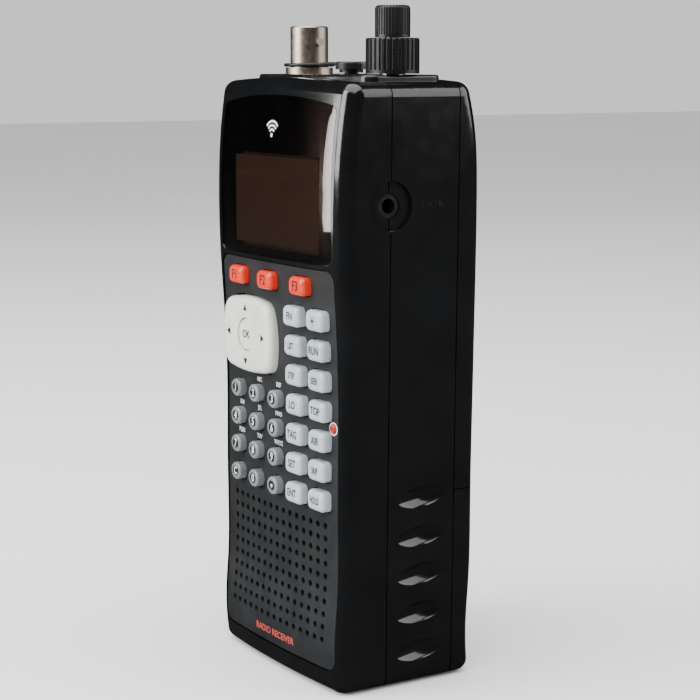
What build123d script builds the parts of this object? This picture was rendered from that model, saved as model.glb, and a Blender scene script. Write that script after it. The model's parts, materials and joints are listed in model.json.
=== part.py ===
from build123d import *
import math
import os

# Handheld radio scanner, an assembly of separate pieces.
# Frame: millimetres, +Z up, front face towards -Y, origin at the middle of the base.

os.makedirs("parts", exist_ok=True)

# ---------------------------------------------------------------- case outline
# Each case section: height, Y of the front at mid-width, Y of the back at mid-width.
SECTIONS = [
    (0.4, -19.3, 21.2),
    (24.0, -19.35, 21.2),
    (47.0, -19.1, 21.3),
    (70.0, -18.85, 21.4),
    (86.0, -19.25, 21.5),
    (104.0, -20.2, 21.6),
    (122.0, -20.3, 21.5),
    (134.0, -19.6, 20.8),
    (142.0, -18.6, 19.3),
    (150.0, -17.5, 17.2),
]
BASE_Z = 0.4                 # underside of the case; the feet reach z = 0
HALF_WIDTH = 29.5            # half-width at the base
TAPER = 0.0143               # half-width gained per millimetre of height
FRONT_RADIUS = 303.0         # bow of the front face across its width
BACK_BOW = 0.4               # rise of the back face between its sides
CORNER_RADIUS = 4.0          # upright edges
TOP_Z = 147.8                # crown of the case top
TOP_RADIUS = 450.0           # bow of the top across its width
TOP_EDGE = 3.4
BOTTOM_EDGE = 2.8
WALL = 2.4                   # case wall
SPLIT_FRONT = -5.4           # parting plane of the front and mid shells
SPLIT_REAR = 13.9            # parting plane of the mid and rear shells
SEAM = 0.3                   # visible gap at a parting line
DOOR_TOP = 47.8              # cross line above the battery door
AXIS_Y = 0.9                 # connector and knob axes on the top

# ---------------------------------------------------------------- front face
PANEL_HALF = 27.0
PANEL_BOTTOM = 6.0
PANEL_TOP = 102.9
PANEL_CORNER = 3.0
PANEL_SINK = 0.35            # panel face below the case surface
PANEL_THICK = 1.0
PANEL_GAP = 0.3              # groove round the panel
LENS_HALF = 26.7
LENS_BOTTOM = 104.3
LENS_SIDE_TOP = 141.2
LENS_CROWN = 143.6
LENS_CORNER = 2.0
LENS_THICK = 1.3
WINDOW_HALF = 20.0
WINDOW_BOTTOM = 107.0
WINDOW_TOP = 128.7
GRILLE_PITCH = 3.13
GRILLE_COLUMNS = 15
GRILLE_ROWS = 10
GRILLE_Z = 13.0
GRILLE_HOLE = 0.78

# ---------------------------------------------------------------- keys
KEY_TRAVEL = 0.8
KEY_GAP = 0.25               # clearance round a key in its hole
FLANGE = 0.6                 # how far a key's flange stands out beyond the stem
FLANGE_THICK = 1.0
ROW_Z = [90.98 - 7.27 * i for i in range(7)]
FUNCTION_X = [10.73, 20.62]
NUMBER_X = [-18.83, -8.90, 0.85]
SOFT_X = [-16.1, -1.2, 13.9]
SOFT_Z = 98.6
FUNCTION_KEY = (7.2, 5.0)
NUMBER_KEY = (4.9, 4.5)
SOFT_KEY = (7.0, 4.5)
KEY_PROUD = 1.9
NUMBER_PROUD = 1.7
NAV_X = -11.2
NAV_Z = 83.9
NAV_HALF_X = 12.2
NAV_HALF_Z = 9.6
NAV_PROUD = 2.2
NAV_GAP = 0.45
SELECT_RADIUS = 4.0
LED_X = 25.0
LED_Z = 65.4

# ---------------------------------------------------------------- inside
MAT_FRONT = -12.6
MAT_THICK = 1.0
BOARD_FRONT = -11.5
BOARD_THICK = 1.6
BOARD_BOTTOM = 45.2
BOARD_TOP = 137.0
SPEAKER_Z = 27.2
SPEAKER_RADIUS = 16.3
SPEAKER_BACK = -11.3
CELL_RADIUS = 7.05
CELL_LENGTH = 50.4

# ---------------------------------------------------------------- top
BNC_X = -16.3
BNC_RADIUS = 4.8
BNC_BORE = 4.05
BNC_MOUTH = 4.4              # length of the bore that a plug's collar enters
BNC_DEPTH = 9.0
BNC_TOP = 160.4
PLATE_TOP = 148.5
PLATE_BOTTOM = 146.1
CAP_X = 3.7
CAP_LIFT = 6.0
KNOB_X = 22.0
SQUELCH_RADIUS = 6.4
SQUELCH_TOP = 157.1
VOLUME_RADIUS = 4.2
VOLUME_TOP = 164.7
DATA_Z = 118.1


def half_width(z):
    return HALF_WIDTH + TAPER * z


def section_value(z, column):
    """Front (1) or back (2) face position at a height, between the case sections."""
    for low, high in zip(SECTIONS, SECTIONS[1:]):
        if z <= high[0]:
            t = (z - low[0]) / (high[0] - low[0])
            return low[column] + t * (high[column] - low[column])
    return SECTIONS[-1][column]


def front_y(x, z):
    """Y of the case's front surface."""
    return section_value(z, 1) + x * x / (2 * FRONT_RADIUS)


def facing(y):
    """Plane across the depth at Y; a positive extrusion runs towards the front."""
    return Plane.XZ.offset(-y)


def envelope(inset):
    """Solid inside the case outline, its faces moved inwards by inset."""
    corner = max(CORNER_RADIUS - 0.8 * inset, 1.0)
    with BuildPart() as body:
        for z, y_front, y_back in SECTIONS:
            half = half_width(z) - inset
            sag = half * half / (2 * FRONT_RADIUS)
            with BuildSketch(Plane.XY.offset(z)) as section:
                with BuildLine():
                    face = ThreePointArc(
                        (-half, y_front + inset + sag),
                        (0, y_front + inset),
                        (half, y_front + inset + sag),
                    )
                    side = Line(face @ 1, (half, y_back - inset - BACK_BOW))
                    back = ThreePointArc(
                        side @ 1, (0, y_back - inset), (-half, y_back - inset - BACK_BOW)
                    )
                    Line(back @ 1, face @ 0)
                make_face()
                fillet(section.vertices(), corner)
        loft()
        reach = 40.0
        crown = TOP_Z - inset
        shoulder = crown - reach * reach / (2 * TOP_RADIUS)
        floor = BASE_Z + inset
        with BuildSketch(Plane.XZ):
            with BuildLine():
                base = Line((-reach, floor), (reach, floor))
                right = Line(base @ 1, (reach, shoulder))
                top = ThreePointArc(right @ 1, (0, crown), (-reach, shoulder))
                Line(top @ 1, base @ 0)
            make_face()
        extrude(amount=reach, both=True, mode=Mode.INTERSECT)
        if inset < WALL:
            fillet(body.faces().sort_by(Axis.Z)[-1].edges(), TOP_EDGE - inset * 0.8)
            fillet(body.faces().sort_by(Axis.Z)[0].edges(), BOTTOM_EDGE - inset * 0.8)
    return body.part


def prism(outline, y_back, depth):
    """Private solid: an outline on the front view, extruded forwards from y_back."""
    with BuildPart() as solid:
        with BuildSketch(facing(y_back)):
            add(outline)
        extrude(amount=depth)
    return solid.part


def panel_outline(grow):
    with BuildSketch() as outline:
        with Locations((0, (PANEL_BOTTOM + PANEL_TOP) / 2)):
            RectangleRounded(
                2 * (PANEL_HALF + grow), PANEL_TOP - PANEL_BOTTOM + 2 * grow, PANEL_CORNER + grow
            )
    return outline.sketch


def lens_outline(grow):
    half = LENS_HALF + grow
    low = LENS_BOTTOM - grow
    high = LENS_SIDE_TOP + grow
    with BuildSketch() as outline:
        with BuildLine():
            base = Line((-half, low), (half, low))
            right = Line(base @ 1, (half, high))
            top = ThreePointArc(right @ 1, (0, LENS_CROWN + grow), (-half, high))
            Line(top @ 1, base @ 0)
        make_face()
        fillet(outline.vertices(), LENS_CORNER)
    return outline.sketch


def nav_outline(half_x, half_z):
    """Rounded quadrilateral with bowed sides."""
    bow_x = half_x * 0.88
    bow_z = half_z * 0.88
    with BuildSketch() as outline:
        with BuildLine():
            low = ThreePointArc((-bow_x, -bow_z), (0, -half_z), (bow_x, -bow_z))
            right = ThreePointArc(low @ 1, (half_x, 0), (bow_x, bow_z))
            high = ThreePointArc(right @ 1, (0, half_z), (-bow_x, bow_z))
            ThreePointArc(high @ 1, (-half_x, 0), low @ 0)
        make_face()
        fillet(outline.vertices(), half_z * 0.42)
    return outline.sketch


# Each key: node name, centre X and Z, size, how far it stands out, round or not.
KEYS = []
for column, x in enumerate(SOFT_X):
    KEYS.append((f"key_f{column + 1}", x, SOFT_Z, SOFT_KEY, KEY_PROUD, False))
for row in range(7):
    for column, x in enumerate(FUNCTION_X):
        name = f"key_fn_{row + 1}_{column + 1}"
        KEYS.append((name, x, ROW_Z[row], FUNCTION_KEY, KEY_PROUD, False))
for row in range(4):
    for column, x in enumerate(NUMBER_X):
        name = f"key_num_{row + 1}_{column + 1}"
        KEYS.append((name, x, ROW_Z[row + 3], NUMBER_KEY, NUMBER_PROUD, True))


def key_outline(size, is_round, grow):
    width, height = size[0] + 2 * grow, size[1] + 2 * grow
    with BuildSketch() as outline:
        if is_round:
            Ellipse(width / 2, height / 2)
        else:
            RectangleRounded(width, height, 1.5 + grow * 0.5)
    return outline.sketch


def finish(part, name):
    part.label = name
    export_step(part, f"parts/{name}.step")


outer = envelope(0.0)
panel_front = envelope(PANEL_SINK)
panel_back = envelope(PANEL_SINK + PANEL_THICK)
pocket_floor = envelope(PANEL_SINK + PANEL_THICK + 0.05)
lens_back = envelope(LENS_THICK)
lens_floor = envelope(LENS_THICK + 0.05)
cavity = envelope(WALL)
boss_limit = envelope(WALL - 1.0)

# ---------------------------------------------------------------- openings of the front
with BuildPart() as key_holes:
    for _, x, z, size, _, is_round in KEYS:
        with BuildSketch(facing(-10.0)):
            with Locations((x, z)):
                add(key_outline(size, is_round, KEY_GAP))
        extrude(amount=16)
    with BuildSketch(facing(-10.0)):
        with Locations((NAV_X, NAV_Z)):
            add(nav_outline(NAV_HALF_X + NAV_GAP, NAV_HALF_Z + NAV_GAP))
    extrude(amount=16)
    with BuildSketch(facing(-10.0)):
        with Locations((LED_X, LED_Z)):
            Circle(1.25)
    extrude(amount=16)

GRILLE_MID = GRILLE_Z + GRILLE_PITCH * (GRILLE_ROWS - 1) / 2
with BuildPart() as grille_holes:
    with BuildSketch(facing(-10.0)):
        with Locations((0, GRILLE_MID)):
            with GridLocations(GRILLE_PITCH, GRILLE_PITCH, GRILLE_COLUMNS, GRILLE_ROWS):
                Circle(GRILLE_HOLE)
    extrude(amount=16)

# ---------------------------------------------------------------- screws
# Centres on the rear view. The upper pair clamps the rear and mid shells to the front shell;
# the lower pair is reached through the battery door and clamps the mid shell.
UPPER_SCREWS = [(-26.9, 127.2), (26.9, 127.2)]
LOWER_SCREWS = [(-25.4, 41.2), (25.4, 41.2)]
SCREW_POINTS = UPPER_SCREWS + LOWER_SCREWS
SCREW_RADIUS = 1.2
SCREW_HEAD = 2.1
SCREW_TIP = -11.0
UPPER_SEAT = 17.8            # Y of the shoulder below each upper head
LOWER_SEAT = 11.6
BOSS_RADIUS = 2.7
CLIP_HALF = 8.0              # belt clip holes, either side of the middle
CLIP_Z = 112.0
CLIP_HOLE = 1.25
CLIP_DEPTH = 6.0

# ---------------------------------------------------------------- battery door hinge and latch
HINGE_Y = 14.15
HINGE_Z = 0.65
LATCH_HALF = 6.0
LATCH_LOW = 48.4
LATCH_HIGH = 51.4
LATCH_TRAVEL = 1.8


def half_space(y_low, y_high, z_low, z_high):
    """Private box across the whole width between two depths and two heights."""
    with BuildPart() as block:
        with BuildSketch(Plane.YZ):
            with Locations(((y_low + y_high) / 2, (z_low + z_high) / 2)):
                Rectangle(y_high - y_low, z_high - z_low)
        extrude(amount=40, both=True)
    return block.part


def screw_bosses(points, y_back, length):
    """Private solid: round screw bosses, each joined to its side wall by a square web."""
    web = 6.0
    with BuildPart() as bosses:
        with BuildSketch(facing(y_back)):
            with Locations(*points):
                Circle(BOSS_RADIUS)
            for x, z in points:
                with Locations((x + math.copysign(web / 2, x), z)):
                    Rectangle(web, 2 * BOSS_RADIUS)
        extrude(amount=length)
        add(boss_limit, mode=Mode.INTERSECT)
    return bosses.part



DATA_X = half_width(DATA_Z)


def data_recess():
    """Private tool: round recess and through hole of the side jack."""
    with BuildPart() as tool:
        with BuildSketch(Plane.YZ.offset(DATA_X - 1.0)):
            with Locations((SPLIT_FRONT, DATA_Z)):
                Circle(5.97)
        extrude(amount=6)
        with BuildSketch(Plane.YZ.offset(DATA_X - 8.0)):
            with Locations((SPLIT_FRONT, DATA_Z)):
                Circle(2.95)
        extrude(amount=12)
    return tool.part


def plate_outline(grow):
    """Top trim plate seen from above: straight back, bowed front."""
    half = 26.6 + grow
    rear = 12.6 + grow
    side_front = -8.6 - grow
    nose = -11.4 - grow
    with BuildSketch() as outline:
        with BuildLine():
            back = Line((half, rear), (-half, rear))
            left = Line(back @ 1, (-half, side_front))
            front = ThreePointArc(left @ 1, (0, nose), (half, side_front))
            Line(front @ 1, back @ 0)
        make_face()
        fillet(outline.vertices(), 3.2)
    return outline.sketch


def top_tools():
    """Private tool: plate pocket and the holes for the connector, the jack and the control."""
    with BuildPart() as tool:
        with BuildSketch(Plane.XY.offset(PLATE_BOTTOM)):
            add(plate_outline(0.15))
        extrude(amount=6)
        with BuildSketch(Plane.XY.offset(140)):
            with Locations((BNC_X, AXIS_Y)):
                Circle(4.9)
            with Locations((CAP_X, AXIS_Y)):
                Circle(3.9)
            with Locations((KNOB_X, AXIS_Y)):
                Circle(4.4)
        extrude(amount=12)
    return tool.part


FOOT_POINTS = [(-24.0, -12.2), (24.0, -12.2), (-24.0, 8.6), (24.0, 8.6)]
FOOT_SIZE = (4.6, 8.0)
FOOT_DEPTH = 1.2


def foot_tools(grow, height):
    with BuildPart() as tool:
        with BuildSketch(Plane.XY):
            with Locations(*FOOT_POINTS):
                RectangleRounded(FOOT_SIZE[0] + 2 * grow, FOOT_SIZE[1] + 2 * grow, 2.0)
        extrude(amount=height)
    return tool.part


top_cut = top_tools()
side_cut = data_recess()
foot_cut = foot_tools(0.1, FOOT_DEPTH + 0.05)

# ---------------------------------------------------------------- front shell
with BuildPart() as front_shell:
    add(outer)
    add(cavity, mode=Mode.SUBTRACT)
    split(bisect_by=facing(SPLIT_FRONT - SEAM / 2), keep=Keep.TOP)
    add(screw_bosses(SCREW_POINTS, SPLIT_FRONT - SEAM / 2, 30))
    panel_pocket = prism(panel_outline(PANEL_GAP), -14.0, 12.0) - pocket_floor
    add(panel_pocket, mode=Mode.SUBTRACT)
    lens_pocket = prism(lens_outline(0.1), -14.0, 12.0) - lens_floor
    add(lens_pocket, mode=Mode.SUBTRACT)
    add(key_holes.part, mode=Mode.SUBTRACT)
    add(grille_holes.part, mode=Mode.SUBTRACT)
    with BuildSketch(facing(-10.0)):
        with Locations((0, (WINDOW_BOTTOM + WINDOW_TOP) / 2)):
            RectangleRounded(2 * WINDOW_HALF + 1.6, WINDOW_TOP - WINDOW_BOTTOM + 1.6, 0.8)
    extrude(amount=16, mode=Mode.SUBTRACT)
    with BuildSketch(facing(SPLIT_FRONT)):
        with Locations(*SCREW_POINTS):
            Circle(SCREW_RADIUS - 0.1)
    extrude(amount=SPLIT_FRONT - SCREW_TIP + 0.3, mode=Mode.SUBTRACT)
    add(top_cut, mode=Mode.SUBTRACT)
    add(side_cut, mode=Mode.SUBTRACT)
    add(foot_cut, mode=Mode.SUBTRACT)
finish(front_shell.part, "front_shell")

# ---------------------------------------------------------------- keypad panel
with BuildPart() as keypad_panel:
    add(prism(panel_outline(0.0), -14.0, 12.0))
    add(panel_front, mode=Mode.INTERSECT)
    add(panel_back, mode=Mode.SUBTRACT)
    add(key_holes.part, mode=Mode.SUBTRACT)
    add(grille_holes.part, mode=Mode.SUBTRACT)
finish(keypad_panel.part, "keypad_panel")

# ---------------------------------------------------------------- display lens
with BuildPart() as display_lens:
    add(prism(lens_outline(0.0), -14.0, 12.0))
    add(outer, mode=Mode.INTERSECT)
    add(lens_back, mode=Mode.SUBTRACT)
finish(display_lens.part, "display_lens")

# ---------------------------------------------------------------- mid shell
GRIP_COUNT = 5
GRIP_LOW = 8.65
GRIP_PITCH = 9.65
GRIP_Y = (-2.5, 11.1)
GRIP_TILT = 5.0
GRIP_OUT = 2.1               # spindle axis outside the case side
GRIP_DEEP = 3.35             # spindle radius at the middle


def grip_tool(side, index):
    """Private tool: one spindle whose axis lies just outside a side of the case."""
    middle = (GRIP_Y[0] + GRIP_Y[1]) / 2
    half_chord = (GRIP_Y[1] - GRIP_Y[0]) / 2
    rise = GRIP_DEEP - GRIP_OUT
    bow = (half_chord**2 + rise**2) / (2 * rise)
    reach = half_chord + 1.0
    tip = GRIP_DEEP - bow + math.sqrt(bow**2 - reach**2)
    z = GRIP_LOW + GRIP_PITCH * index
    x = side * (half_width(z) + GRIP_OUT)
    slope = math.tan(math.radians(GRIP_TILT))
    line = Plane(origin=(x, middle, z), x_dir=(0, 1, slope), z_dir=(1, 0, 0))
    with BuildPart() as tool:
        with BuildSketch(line):
            with BuildLine():
                arc = ThreePointArc((-reach, tip), (0, GRIP_DEEP), (reach, tip))
                Polyline(arc @ 1, (reach, 0), (-reach, 0), arc @ 0)
            make_face()
        revolve(axis=Axis(line.origin, line.x_dir))
    return tool.part


with BuildPart() as mid_shell:
    add(outer)
    add(cavity, mode=Mode.SUBTRACT)
    split(bisect_by=facing(SPLIT_FRONT + SEAM / 2), keep=Keep.BOTTOM)
    split(bisect_by=facing(SPLIT_REAR - SEAM / 2), keep=Keep.TOP)
    add(screw_bosses(SCREW_POINTS, SPLIT_REAR - SEAM / 2, SPLIT_REAR - SPLIT_FRONT - SEAM))
    with BuildSketch(facing(SPLIT_REAR)):
        with Locations(*SCREW_POINTS):
            Circle(SCREW_RADIUS + 0.2)
    extrude(amount=24, mode=Mode.SUBTRACT)
    with BuildSketch(facing(SPLIT_REAR)):
        with Locations(*LOWER_SCREWS):
            Circle(SCREW_HEAD + 0.2)
    extrude(amount=SPLIT_REAR - LOWER_SEAT, mode=Mode.SUBTRACT)
    for side in (-1, 1):
        for index in range(GRIP_COUNT):
            add(grip_tool(side, index), mode=Mode.SUBTRACT)
    add(top_cut, mode=Mode.SUBTRACT)
    add(side_cut, mode=Mode.SUBTRACT)
    add(foot_cut, mode=Mode.SUBTRACT)
finish(mid_shell.part, "mid_shell")

# ---------------------------------------------------------------- rear shell
NOTCH_HALF = 9.0
with BuildPart() as rear_shell:
    add(outer)
    add(cavity, mode=Mode.SUBTRACT)
    add(half_space(SPLIT_REAR + SEAM / 2, 30, DOOR_TOP + SEAM / 2, 160), mode=Mode.INTERSECT)
    add(screw_bosses(UPPER_SCREWS, 24, 24 - SPLIT_REAR - SEAM / 2))
    with BuildSketch(facing(section_value(CLIP_Z, 2) - 1.0)):
        with Locations((-CLIP_HALF, CLIP_Z), (CLIP_HALF, CLIP_Z)):
            Circle(3.0)
    extrude(amount=6.5)
    with BuildSketch(facing(30)):
        with Locations(*UPPER_SCREWS):
            Circle(SCREW_HEAD + 0.3)
    extrude(amount=30 - UPPER_SEAT, mode=Mode.SUBTRACT)
    with BuildSketch(facing(30)):
        with Locations(*UPPER_SCREWS):
            Circle(SCREW_RADIUS + 0.2)
    extrude(amount=20, mode=Mode.SUBTRACT)
    with BuildSketch(facing(30)):
        with Locations((-CLIP_HALF, CLIP_Z), (CLIP_HALF, CLIP_Z)):
            Circle(CLIP_HOLE)
    extrude(amount=30 - section_value(CLIP_Z, 2) + CLIP_DEPTH, mode=Mode.SUBTRACT)
    with BuildSketch(Plane.YZ):
        with Locations((23.6, 54.2)):
            Circle(3.3)
    extrude(amount=NOTCH_HALF, both=True, mode=Mode.SUBTRACT)
    with BuildSketch(facing(30)):
        with Locations((0, (LATCH_LOW + LATCH_HIGH + LATCH_TRAVEL) / 2)):
            Rectangle(2 * LATCH_HALF + 0.6, LATCH_HIGH - LATCH_LOW + LATCH_TRAVEL + 0.6)
    extrude(amount=14, mode=Mode.SUBTRACT)
finish(rear_shell.part, "rear_shell")

# ---------------------------------------------------------------- battery door
with BuildPart() as battery_door:
    add(outer)
    add(cavity, mode=Mode.SUBTRACT)
    add(half_space(SPLIT_REAR + SEAM / 2, 30, -1, DOOR_TOP - SEAM / 2), mode=Mode.INTERSECT)
finish(battery_door.part, "battery_door")

# ---------------------------------------------------------------- door latch
LATCH_OUTER = 21.9
with BuildPart() as door_latch:
    with BuildSketch(Plane.YZ):
        with BuildLine():
            Polyline(
                (16.4, LATCH_LOW), (LATCH_OUTER - 0.5, LATCH_LOW), (LATCH_OUTER, LATCH_LOW + 0.6),
                (LATCH_OUTER, LATCH_HIGH - 0.8), (LATCH_OUTER - 0.9, LATCH_HIGH),
                (16.4, LATCH_HIGH), close=True,
            )
        make_face()
    extrude(amount=LATCH_HALF, both=True)
    with BuildSketch(facing(17.8)):
        with Locations((0, (LATCH_LOW + LATCH_HIGH) / 2)):
            Rectangle(2 * LATCH_HALF + 3.0, LATCH_HIGH - LATCH_LOW)
    extrude(amount=1.4)
finish(door_latch.part, "door_latch")

# ---------------------------------------------------------------- keys
def key_seat(x, z, size):
    """Y of a key's flange front, clear of the bowed wall at the flange's corners."""
    edge = abs(x) + size[0] / 2 + FLANGE
    reach = size[1] / 2 + FLANGE
    return max(front_y(edge, z - reach), front_y(edge, z + reach)) + WALL + 0.2


for name, x, z, size, proud, is_round in KEYS:
    surface = front_y(x, z)
    seat = key_seat(x, z, size)
    with BuildPart() as key:
        with BuildSketch(facing(seat + FLANGE_THICK)):
            with Locations((x, z)):
                add(key_outline(size, is_round, FLANGE))
        extrude(amount=FLANGE_THICK)
        with BuildSketch(facing(seat)):
            with Locations((x, z)):
                add(key_outline(size, is_round, 0.0))
        extrude(amount=seat - surface + proud)
        if is_round:
            fillet(key.faces().sort_by(Axis.Y)[0].edges(), 0.5)
            with BuildSketch(facing(surface - proud + 0.35)):
                with Locations((x, z)):
                    Ellipse(size[0] / 2 - 1.0, size[1] / 2 - 1.0)
            extrude(amount=2.0, mode=Mode.SUBTRACT)
        else:
            fillet(key.faces().sort_by(Axis.Y)[0].edges(), 1.1)
    finish(key.part, name)

# ---------------------------------------------------------------- four-way rocker
NAV_SURFACE = front_y(NAV_X, NAV_Z)
NAV_FLANGE_FRONT = NAV_SURFACE + WALL + 1.45
NAV_FLANGE_BACK = NAV_FLANGE_FRONT + 0.8
NAV_RECESS = NAV_SURFACE + 2.9
PLATE_FRONT = NAV_FLANGE_BACK + 0.5
with BuildPart() as nav_pad:
    with BuildSketch(facing(NAV_FLANGE_BACK)):
        with Locations((NAV_X, NAV_Z)):
            add(nav_outline(NAV_HALF_X + 0.7, NAV_HALF_Z + 0.7))
    extrude(amount=0.8)
    with BuildSketch(facing(NAV_FLANGE_FRONT)):
        with Locations((NAV_X, NAV_Z)):
            add(nav_outline(NAV_HALF_X, NAV_HALF_Z))
    extrude(amount=NAV_FLANGE_FRONT - NAV_SURFACE + NAV_PROUD)
    fillet(nav_pad.faces().sort_by(Axis.Y)[0].edges(), 1.6)
    with BuildSketch(facing(0)):
        with Locations((NAV_X, NAV_Z)):
            Circle(SELECT_RADIUS + 0.25)
    extrude(amount=40, mode=Mode.SUBTRACT)
    with BuildSketch(facing(0)):
        with Locations((NAV_X, NAV_Z)):
            Circle(SELECT_RADIUS + 1.1)
    extrude(amount=-NAV_RECESS, mode=Mode.SUBTRACT)
finish(nav_pad.part, "nav_pad")

with BuildPart() as nav_select:
    with BuildSketch(facing(NAV_RECESS + 1.0)):
        with Locations((NAV_X, NAV_Z)):
            Circle(SELECT_RADIUS + 0.8)
    extrude(amount=0.8)
    with BuildSketch(facing(NAV_RECESS + 0.2)):
        with Locations((NAV_X, NAV_Z)):
            Circle(SELECT_RADIUS)
    extrude(amount=NAV_RECESS + 0.2 - NAV_SURFACE + NAV_PROUD - 0.25)
    fillet(nav_select.faces().sort_by(Axis.Y)[0].edges(), 0.5)
finish(nav_select.part, "nav_select")

with BuildPart() as nav_pivot_plate:
    with BuildSketch(facing(PLATE_FRONT + 0.7)):
        with Locations((NAV_X, NAV_Z)):
            RectangleRounded(16, 15, 3)
            Circle(5.4, mode=Mode.SUBTRACT)
    extrude(amount=0.7)
finish(nav_pivot_plate.part, "nav_pivot_plate")

# ---------------------------------------------------------------- status lamp
with BuildPart() as status_led:
    lamp_surface = front_y(LED_X, LED_Z) + PANEL_SINK
    with BuildSketch(facing(lamp_surface + 2.0)):
        with Locations((LED_X, LED_Z)):
            Circle(1.2)
    extrude(amount=2.5)
    fillet(status_led.faces().sort_by(Axis.Y)[0].edges(), 0.4)
finish(status_led.part, "status_led")

# ---------------------------------------------------------------- display module
LCD_FACE = max(front_y(WINDOW_HALF, z) for z in (WINDOW_BOTTOM, WINDOW_TOP)) + LENS_THICK + 0.25
with BuildPart() as lcd_module:
    with BuildSketch(facing(LCD_FACE)):
        with Locations((0, (WINDOW_BOTTOM + WINDOW_TOP) / 2)):
            Rectangle(2 * WINDOW_HALF, WINDOW_TOP - WINDOW_BOTTOM)
    extrude(amount=-3.2)
    with BuildSketch(facing(LCD_FACE + 3.2)):
        with Locations((0, 118.8)):
            Rectangle(44, 30)
    extrude(amount=-2.6)
finish(lcd_module.part, "lcd_module")

# ---------------------------------------------------------------- silicone mat
MAT_LOW = 44.8
MAT_HIGH = 102.4
with BuildPart() as keypad_mat:
    with BuildSketch(facing(MAT_FRONT + MAT_THICK)):
        with Locations((0, (MAT_LOW + MAT_HIGH) / 2)):
            RectangleRounded(53, MAT_HIGH - MAT_LOW, 2)
    extrude(amount=MAT_THICK)
    for _, x, z, size, _, _ in KEYS:
        pressed = key_seat(x, z, size) + FLANGE_THICK + KEY_TRAVEL
        with BuildSketch(facing(MAT_FRONT)):
            with Locations((x, z)):
                Circle(1.7)
        extrude(amount=MAT_FRONT - pressed - 0.15)
finish(keypad_mat.part, "keypad_mat")

# ---------------------------------------------------------------- main board
with BuildPart() as main_board:
    with BuildSketch(facing(BOARD_FRONT + BOARD_THICK)):
        with Locations((0, (BOARD_BOTTOM + BOARD_TOP) / 2)):
            Rectangle(53, BOARD_TOP - BOARD_BOTTOM)
        with Locations(*SCREW_POINTS):
            Circle(BOSS_RADIUS + 0.6, mode=Mode.SUBTRACT)
    extrude(amount=BOARD_THICK)
    with BuildSketch(facing(BOARD_FRONT + BOARD_THICK)):
        with Locations((-8, 112)):
            RectangleRounded(28, 30, 1)
        with Locations((8, 74)):
            RectangleRounded(14, 14, 0.5)
    extrude(amount=-3)
finish(main_board.part, "main_board")

# ---------------------------------------------------------------- speaker
with BuildPart() as speaker:
    with BuildSketch(facing(SPEAKER_BACK)):
        with Locations((0, SPEAKER_Z)):
            Circle(10)
    extrude(amount=1.8)
    with BuildSketch(facing(SPEAKER_BACK - 1.8)):
        with Locations((0, SPEAKER_Z)):
            Circle(SPEAKER_RADIUS)
    extrude(amount=2.0)
    with BuildSketch(facing(SPEAKER_BACK - 3.8)):
        with Locations((0, SPEAKER_Z)):
            Circle(SPEAKER_RADIUS - 2.2)
    extrude(amount=0.8)
finish(speaker.part, "speaker")

# ---------------------------------------------------------------- batteries
CELL_Y = [-3.5, 10.7]
CELL_Z = [14.6, 29.3]
CELL_MID_Z = sum(CELL_Z) / 2
HOLDER_Y = (-11.15, 17.2)
HOLDER_FLOOR = 0.5
HOLDER_HEIGHT = 31.1
HOLDER_HALF = 26.5
with BuildPart() as battery_holder:
    with BuildSketch(facing(HOLDER_Y[1])):
        with Locations((0, CELL_MID_Z)):
            Rectangle(2 * HOLDER_HALF, HOLDER_HEIGHT)
    extrude(amount=HOLDER_Y[1] - HOLDER_Y[0])
    with BuildSketch(facing(HOLDER_Y[1])):
        with Locations((0, CELL_MID_Z)):
            Rectangle(2 * HOLDER_HALF - 1.6, HOLDER_HEIGHT - 2.0)
    extrude(amount=HOLDER_Y[1] - HOLDER_Y[0] - HOLDER_FLOOR, mode=Mode.SUBTRACT)
finish(battery_holder.part, "battery_holder")

with BuildPart() as batteries:
    for y in CELL_Y:
        for index, z in enumerate(CELL_Z):
            nose = 1 if index == 0 else -1
            with BuildSketch(Plane.YZ.offset(-nose * CELL_LENGTH / 2)):
                with Locations((y, z)):
                    Circle(CELL_RADIUS)
            extrude(amount=nose * (CELL_LENGTH - 1.0))
            with BuildSketch(Plane.YZ.offset(nose * (CELL_LENGTH / 2 - 1.0))):
                with Locations((y, z)):
                    Circle(2.7)
            extrude(amount=nose * 1.0)
finish(batteries.part, "batteries")

with BuildPart() as battery_contacts:
    for y in CELL_Y:
        for side in (-1, 1):
            with BuildSketch(Plane.YZ.offset(side * (CELL_LENGTH / 2 + 0.05))):
                with Locations((y, CELL_MID_Z)):
                    Rectangle(9, 24)
            extrude(amount=side * 0.4)
finish(battery_contacts.part, "battery_contacts")

# ---------------------------------------------------------------- top plate
with BuildPart() as top_plate:
    with BuildSketch(Plane.XY.offset(PLATE_BOTTOM)):
        add(plate_outline(0.0))
    extrude(amount=PLATE_TOP - PLATE_BOTTOM)
    fillet(top_plate.faces().sort_by(Axis.Z)[-1].edges(), 0.7)
    with BuildSketch(Plane.XY.offset(PLATE_BOTTOM)):
        with Locations((BNC_X, AXIS_Y)):
            Circle(4.9)
        with Locations((CAP_X, AXIS_Y)):
            Circle(3.9)
        with Locations((KNOB_X, AXIS_Y)):
            Circle(4.4)
    extrude(amount=4, mode=Mode.SUBTRACT)
finish(top_plate.part, "top_plate")

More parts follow.
